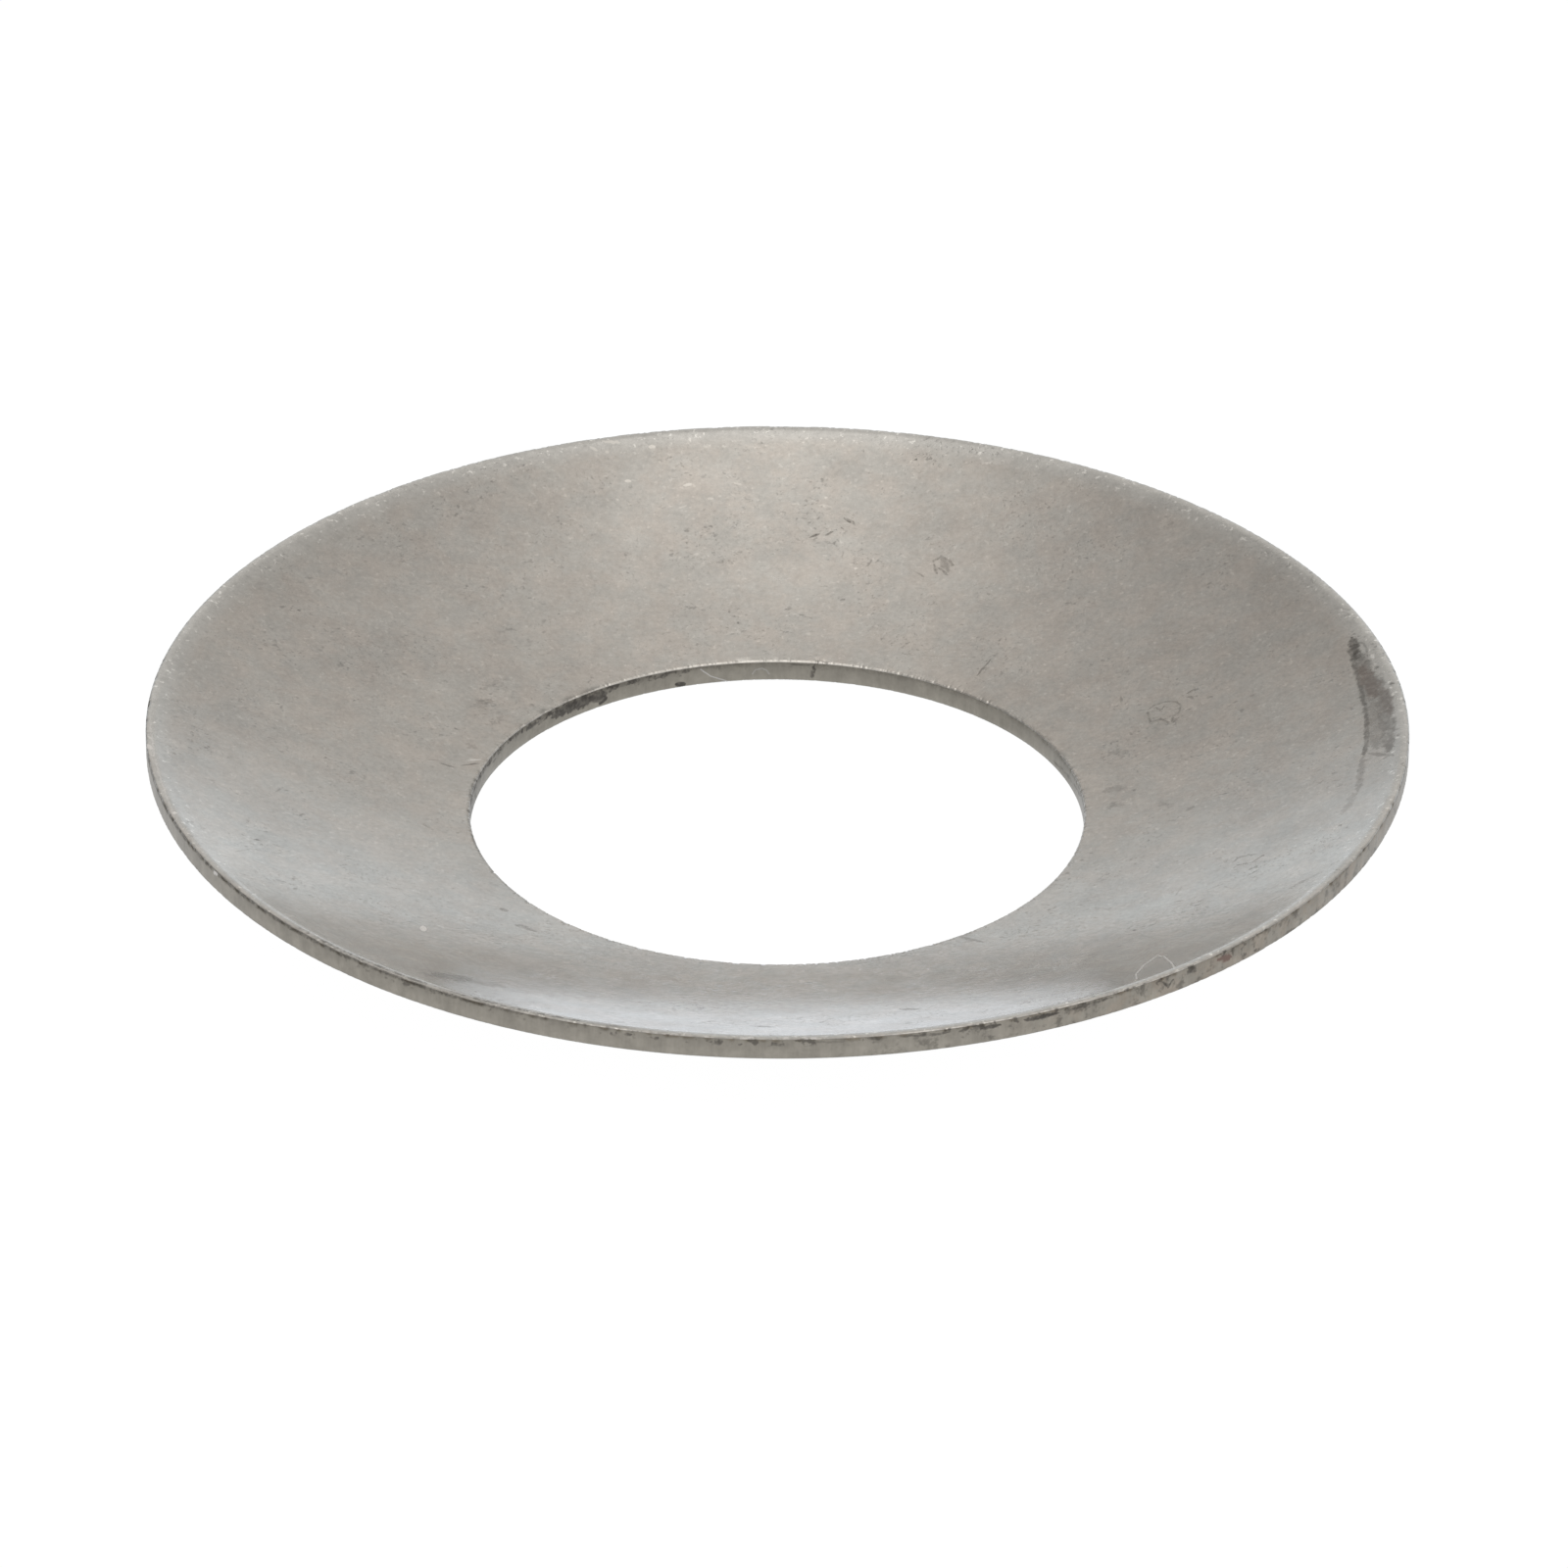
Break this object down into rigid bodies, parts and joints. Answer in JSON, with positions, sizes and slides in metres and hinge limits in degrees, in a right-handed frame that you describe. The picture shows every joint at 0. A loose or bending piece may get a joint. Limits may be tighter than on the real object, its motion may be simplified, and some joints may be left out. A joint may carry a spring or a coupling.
{
  "type": "friction washer",
  "caption": "Dished friction washer: a ring of sheet steel pressed to a shallow spherical bowl, with a plain round bore, that grips by spring load when clamped on a shaft.",
  "frame": {"origin": "on the washer's axis, level with the lowest edge of the bore, on which it stands with its hollow side up", "axes": "+Z along the axis, out of the hollow side; X and Y are alike, because the washer is turned about Z"},
  "size_m": [0.045, 0.045, 0.0046],
  "materials": {
    "steel": "bare tumbled sheet steel, satin, with fine pits and light stains"
  },
  "bodies": {
    "root": {"friction_washer": "steel"}
  },
  "joints": []
}
